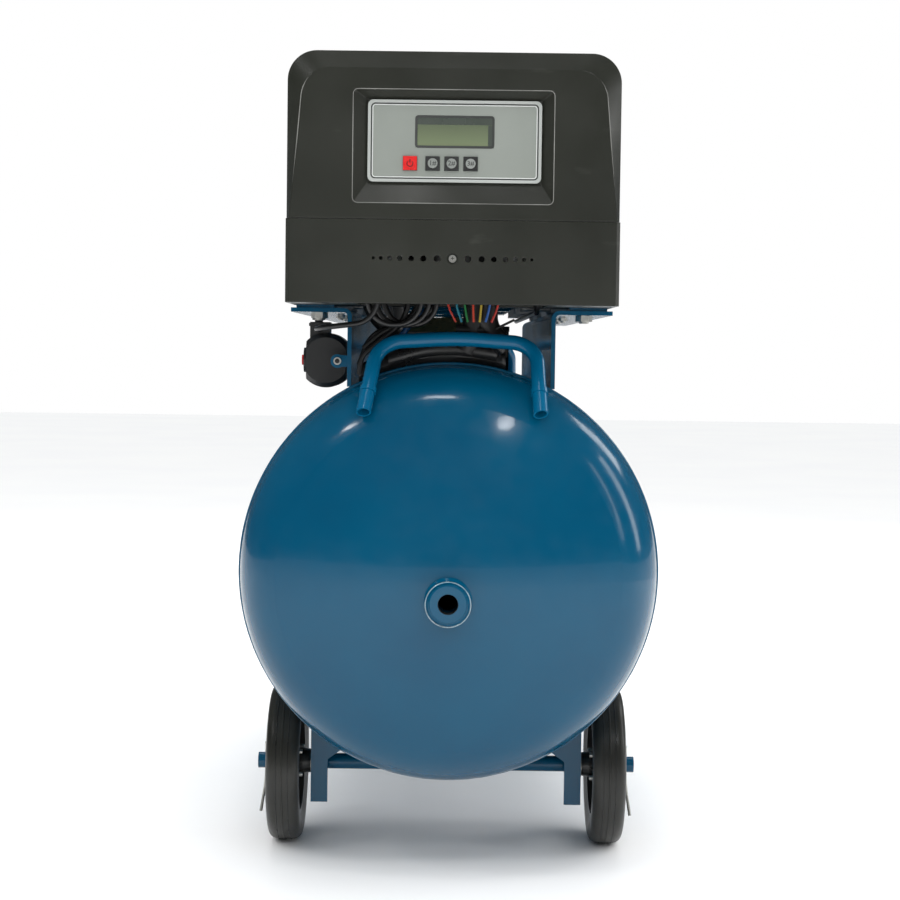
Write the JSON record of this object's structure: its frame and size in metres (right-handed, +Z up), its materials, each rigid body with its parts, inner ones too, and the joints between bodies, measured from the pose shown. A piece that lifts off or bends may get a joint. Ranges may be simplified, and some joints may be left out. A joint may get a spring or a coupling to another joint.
{
  "type": "air compressor",
  "caption": "Oil-free air compressor on a horizontal tank with wheels, carry handles, deck-mounted pumps and a front control box",
  "frame": {"origin": "on the floor under the middle of the tank", "axes": "+Z up; -Y is the front with the control box and the wheels; +X is the right-hand side seen from the front"},
  "size_m": [0.3999, 0.994, 0.775],
  "materials": {
    "blue_paint": "glossy petrol blue enamel",
    "box_plastic": "charcoal moulded plastic",
    "bezel_plastic": "light grey bezel",
    "panel_plastic": "grey printed panel",
    "screen_glass": "grey-green display in a black rim",
    "board_laminate": "circuit board",
    "red_key": "red key",
    "black_key": "black key with a grey cap",
    "capacitor_can": "drawn can",
    "tyre_rubber": "black solid tyre",
    "rim_plastic": "black moulded rim",
    "foot_rubber": "black rubber",
    "zinc": "zinc plated",
    "black_plastic": "black plastic",
    "cable_black": "black cable sheath",
    "wire_colours": "red, blue, green, yellow and brown wires",
    "hose_rubber": "black hose",
    "tube_blue": "blue pneumatic tube",
    "brass": "machined brass",
    "dark_brass": "blackened fitting",
    "gauge_case": "black gauge case",
    "cast_alloy": "die-cast aluminium",
    "motor_paint": "black painted motor",
    "red_plastic": "red plastic",
    "shaft_steel": "ground steel"
  },
  "bodies": {
    "chassis": {"tank_shell": "blue_paint", "tank_head_front": "blue_paint", "tank_head_rear": "blue_paint", "port_bosses": "blue_paint", "handle_front": "blue_paint", "handle_rear": "blue_paint", "rail_left": "blue_paint", "rail_right": "blue_paint", "legs_front": "blue_paint", "legs_rear": "blue_paint", "wheel_axle": "blue_paint", "rubber_feet": "foot_rubber", "frame_bolts": "zinc", "frame_fittings": "blue_paint", "axle_fasteners": "zinc", "box_upper_cover": "box_plastic", "box_lower_cover": "box_plastic", "box_back": "black_plastic", "box_screw": "zinc", "controller_frame": "bezel_plastic", "controller_panel": "panel_plastic", "lcd_window": "screen_glass", "controller_board": "board_laminate", "run_capacitors": "capacitor_can", "wire_loom": "cable_black", "loom_wires": "wire_colours", "power_cables": "cable_black", "air_hoses": "hose_rubber", "unloader_tube": "tube_blue", "check_valve": "dark_brass", "manifold": "brass", "pressure_gauge": "gauge_case", "safety_valve": "brass", "outlet_valve_body": "brass", "drain_cock": "brass", "pressure_switch": "black_plastic", "motors": "motor_paint", "crankcases": "cast_alloy", "cylinders": "cast_alloy", "cylinder_heads": "cast_alloy", "fan_covers": "black_plastic", "intake_filters": "black_plastic"},
    "wheel_left": {"tyre_left": "tyre_rubber", "wheel_rim_left": "rim_plastic"},
    "wheel_right": {"tyre_right": "tyre_rubber", "wheel_rim_right": "rim_plastic"},
    "power_key": {"power_button": "red_key"},
    "pump_one_key": {"pump_one_button": "black_key"},
    "pump_two_key": {"pump_two_button": "black_key"},
    "pump_three_key": {"pump_three_button": "black_key"},
    "switch_key": {"switch_button": "red_plastic"},
    "outlet_handle": {"outlet_lever": "red_plastic"},
    "safety_pull": {"safety_ring": "zinc"},
    "drain_handle": {"drain_knob": "brass"},
    "pump_rotor_one": {"rotor_one": "shaft_steel"},
    "pump_pistons_one": {"pistons_one": "cast_alloy"},
    "pump_rotor_two": {"rotor_two": "shaft_steel"},
    "pump_pistons_two": {"pistons_two": "cast_alloy"},
    "pump_rotor_three": {"rotor_three": "shaft_steel"},
    "pump_pistons_three": {"pistons_three": "cast_alloy"}
  },
  "joints": [
    {"name": "wheel_left_spin", "type": "hinge", "parent": "chassis", "child": "wheel_left", "pos_m": [-0.163, -0.245, 0.08], "axis": [1, 0, 0], "continuous": true},
    {"name": "wheel_right_spin", "type": "hinge", "parent": "chassis", "child": "wheel_right", "pos_m": [0.163, -0.245, 0.08], "axis": [1, 0, 0], "continuous": true},
    {"name": "power_key_press", "type": "slide", "parent": "chassis", "child": "power_key", "axis": [0, 1, 0], "range_m": [0, 0.0008], "stiffness_N_per_m": 2000, "springref_m": -0.0004},
    {"name": "pump_one_key_press", "type": "slide", "parent": "chassis", "child": "pump_one_key", "axis": [0, 1, 0], "range_m": [0, 0.0008], "stiffness_N_per_m": 2000, "springref_m": -0.0004},
    {"name": "pump_two_key_press", "type": "slide", "parent": "chassis", "child": "pump_two_key", "axis": [0, 1, 0], "range_m": [0, 0.0008], "stiffness_N_per_m": 2000, "springref_m": -0.0004},
    {"name": "pump_three_key_press", "type": "slide", "parent": "chassis", "child": "pump_three_key", "axis": [0, 1, 0], "range_m": [0, 0.0008], "stiffness_N_per_m": 2000, "springref_m": -0.0004},
    {"name": "switch_key_press", "type": "slide", "parent": "chassis", "child": "switch_key", "axis": [1, 0, 0], "range_m": [0, 0.0025], "stiffness_N_per_m": 800, "springref_m": -0.001},
    {"name": "outlet_turn", "type": "hinge", "parent": "chassis", "child": "outlet_handle", "pos_m": [0, 0.373, 0.5603], "axis": [0, 0, 1], "range_deg": [0, 90]},
    {"name": "safety_pull_up", "type": "slide", "parent": "chassis", "child": "safety_pull", "axis": [0, 0, 1], "range_m": [0, 0.003], "stiffness_N_per_m": 1500, "springref_m": -0.001},
    {"name": "drain_turn", "type": "hinge", "parent": "chassis", "child": "drain_handle", "pos_m": [0, 0, 0.0733], "axis": [0, 0, 1], "range_deg": [0, 180]},
    {"name": "rotor_one_spin", "type": "hinge", "parent": "chassis", "child": "pump_rotor_one", "pos_m": [0, -0.21, 0.606], "axis": [1, 0, 0], "continuous": true},
    {"name": "pistons_one_stroke", "type": "slide", "parent": "chassis", "child": "pump_pistons_one", "axis": [0, 0, 1], "range_m": [-0.008, 0.008]},
    {"name": "rotor_two_spin", "type": "hinge", "parent": "chassis", "child": "pump_rotor_two", "pos_m": [0, 0.005, 0.606], "axis": [1, 0, 0], "continuous": true},
    {"name": "pistons_two_stroke", "type": "slide", "parent": "chassis", "child": "pump_pistons_two", "axis": [0, 0, 1], "range_m": [-0.008, 0.008]},
    {"name": "rotor_three_spin", "type": "hinge", "parent": "chassis", "child": "pump_rotor_three", "pos_m": [0, 0.22, 0.606], "axis": [1, 0, 0], "continuous": true},
    {"name": "pistons_three_stroke", "type": "slide", "parent": "chassis", "child": "pump_pistons_three", "axis": [0, 0, 1], "range_m": [-0.008, 0.008]}
  ]
}
